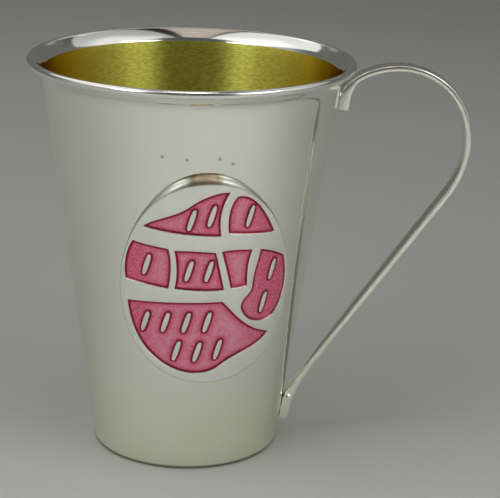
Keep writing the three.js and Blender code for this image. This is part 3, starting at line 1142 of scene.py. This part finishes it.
def build_floor(scene):
    """A table that runs far back and curves up at its end."""
    made = bmesh.new()
    front, sweep_start, sweep_radius, top, half_width = -0.9, 1.0, 0.5, 1.4, 1.6
    sweep = arc((sweep_start, sweep_radius), sweep_radius, -90, 0, 16)
    profile = [(front, 0), (-0.2, 0), (0.5, 0), *sweep, (sweep_start + sweep_radius, top)]
    xs = np.linspace(-half_width, half_width, 9)
    rows = [[made.verts.new((x, y, z)) for x in xs] for y, z in profile]
    for a, b in zip(rows, rows[1:]):
        for i in range(len(xs) - 1):
            made.faces.new((a[i], a[i + 1], b[i + 1], b[i]))
    mesh = bpy.data.meshes.new("table")
    made.to_mesh(mesh)
    made.free()
    mesh.materials.append(floor_material())
    mesh.shade_smooth()
    table = bpy.data.objects.new("table", mesh)
    scene.collection.objects.link(table)


def build_camera(scene):
    stage = scene.kiddush_stage
    data = bpy.data.cameras.new("camera")
    data.sensor_fit = "HORIZONTAL"
    data.sensor_width = 36
    data.lens = stage.lens
    data.clip_start = 0.01
    camera = bpy.data.objects.new("camera", data)
    camera.location = stage.camera_place
    camera.rotation_euler = stage.camera_turn
    scene.collection.objects.link(camera)
    scene.camera = camera


def build_boxes(scene):
    """The light boxes of the tent: flat panels that hang over the cup and face down."""
    key = scene.kiddush_stage.key
    panels = (
        # name, middle, size along x and y, turn and spread in degrees, radiance and tint
        ("front_left_box", (-0.225, -0.225, 0.24), (0.11, 0.2), -43, 180, 3.0, (1, 1, 0.95)),
        ("front_right_box", (0.235, -0.21, 0.24), (0.15, 0.2), 46, 180, 2.6, (1, 1, 0.95)),
        ("left_box", (-0.29, 0.04, 0.38), (0.42, 0.6), 0, 180, 0.72, (1, 1, 0.98)),
        ("right_box", (0.383, 0, 0.38), (0.6, 0.52), 0, 180, 0.37, (1, 1, 0.98)),
        ("middle_panel", (-0.012, -0.05, 0.40), (0.114, 0.42), 0, 180, 0.46, (1, 0.83, 0.74)),
        ("back_box", (0, 0.4, 0.46), (0.46, 0.26), 0, 180, 0.36, (1, 1, 0.98)),
        ("far_box", (0, 1.05, 0.7), (1.2, 0.3), 0, 180, 0.15, (1, 1, 0.98)),
        ("front_pool", (0.045, -0.27, 0.5), (0.39, 0.1), 0, 50, 0.85, (1, 1, 0.95)),
        ("near_pool", (0.03, -0.1, 0.5), (0.24, 0.05), 0, 30, 0.6, (1, 1, 0.95)),
    )
    for name, place, size, turn, cone, radiance, tint in panels:
        data = bpy.data.lights.new(name, "AREA")
        data.shape = "RECTANGLE"
        data.size, data.size_y = size
        data.energy = key * radiance * math.pi * size[0] * size[1]
        data.color = tint
        data.spread = math.radians(cone)
        lamp = bpy.data.objects.new(name, data)
        lamp.location = place
        lamp.rotation_euler.z = math.radians(turn)
        scene.collection.objects.link(lamp)


def build_world(scene):
    """The tent round the cup: dim, darker overhead, with paler walls in front at the sides."""
    stage = scene.kiddush_stage
    world = bpy.data.worlds.new("tent")
    world.use_nodes = True
    tree = world.node_tree
    background = next(node for node in tree.nodes if node.type == "BACKGROUND")
    direction = tree.nodes.new("ShaderNodeTexCoord").outputs["Generated"]
    x, y, z = parts_of(tree, direction)
    level = maths(tree, "SQRT", plus(tree, times(tree, x, x), times(tree, y, y)))
    sideways = spread(tree, maths(tree, "DIVIDE", maths(tree, "ABSOLUTE", x), level), 0.42, 0.6)
    ahead = spread(tree, maths(tree, "DIVIDE", y, level), 0.35, -0.15)
    walls = times(tree, times(tree, sideways, ahead), spread(tree, z, 0.9, 0.65))
    sky_tint = tuple(stage.sky * c for c in (1, 1, 0.97))
    wall_tint = tuple(stage.walls * c for c in (1, 1, 0.94))
    overhead_tint = (0.012, 0.011, 0.011)
    room = mixed(tree, spread(tree, z, 0.3, 1.0), sky_tint, overhead_tint)
    tint = mixed(tree, walls, room, wall_tint)
    tree.links.new(tint, background.inputs["Color"])
    scene.world = world


# ---- Operators ----


class KIDDUSH_OT_stage(bpy.types.Operator):
    """Sets up the table, the camera, the tent and its light boxes"""

    bl_idname = "kiddush.stage"
    bl_label = "Stage"

    def execute(self, context):
        scene = context.scene
        scene.view_settings.view_transform = "Standard"
        build_camera(scene)
        build_floor(scene)
        build_world(scene)
        build_boxes(scene)
        return {"FINISHED"}


class KIDDUSH_OT_cup(bpy.types.Operator):
    """Builds the cup with its lip and the gilding inside it"""

    bl_idname = "kiddush.cup"
    bl_label = "Cup"

    def execute(self, context):
        build_cup(context.scene)
        return {"FINISHED"}


class KIDDUSH_OT_handle(bpy.types.Operator):
    """Builds the strip handle and the solder at its ends"""

    bl_idname = "kiddush.handle"
    bl_label = "Handle"

    def execute(self, context):
        build_handle(context.scene)
        build_solder(context.scene)
        return {"FINISHED"}


class KIDDUSH_OT_medallion(bpy.types.Operator):
    """Builds the medallion's plate with its sunk cells"""

    bl_idname = "kiddush.medallion"
    bl_label = "Medallion"

    def execute(self, context):
        build_medallion(context.scene)
        return {"FINISHED"}


class KIDDUSH_OT_enamel(bpy.types.Operator):
    """Fills the medallion's cells with enamel"""

    bl_idname = "kiddush.enamel"
    bl_label = "Enamel"

    def execute(self, context):
        for name in CELLS:
            build_enamel(context.scene, name)
        return {"FINISHED"}


OPERATORS = (
    KIDDUSH_OT_stage,
    KIDDUSH_OT_cup,
    KIDDUSH_OT_handle,
    KIDDUSH_OT_medallion,
    KIDDUSH_OT_enamel,
)


class KIDDUSH_PT_panel(bpy.types.Panel):
    """Lists the cup's sizes, finishes and pieces"""

    bl_idname = "KIDDUSH_PT_panel"
    bl_label = "Kiddush Cup"
    bl_space_type = "VIEW_3D"
    bl_region_type = "UI"
    bl_category = "Kiddush Cup"

    def draw(self, context):
        for name, group in PROPERTY_GROUPS.items():
            box = self.layout.box()
            for key in group.__annotations__:
                box.prop(getattr(context.scene, name), key)
        for operator in OPERATORS:
            self.layout.operator(operator.bl_idname)


def register():
    for name, group in PROPERTY_GROUPS.items():
        bpy.utils.register_class(group)
        setattr(bpy.types.Scene, name, PointerProperty(type=group))
    for operator in OPERATORS:
        bpy.utils.register_class(operator)
    bpy.utils.register_class(KIDDUSH_PT_panel)


def unregister():
    bpy.utils.unregister_class(KIDDUSH_PT_panel)
    for operator in reversed(OPERATORS):
        bpy.utils.unregister_class(operator)
    for name, group in PROPERTY_GROUPS.items():
        delattr(bpy.types.Scene, name)
        bpy.utils.unregister_class(group)


def main():
    register()
    bpy.ops.kiddush.stage()
    bpy.ops.kiddush.cup()
    bpy.ops.kiddush.handle()
    bpy.ops.kiddush.medallion()
    bpy.ops.kiddush.enamel()


if __name__ == "__main__":
    main()
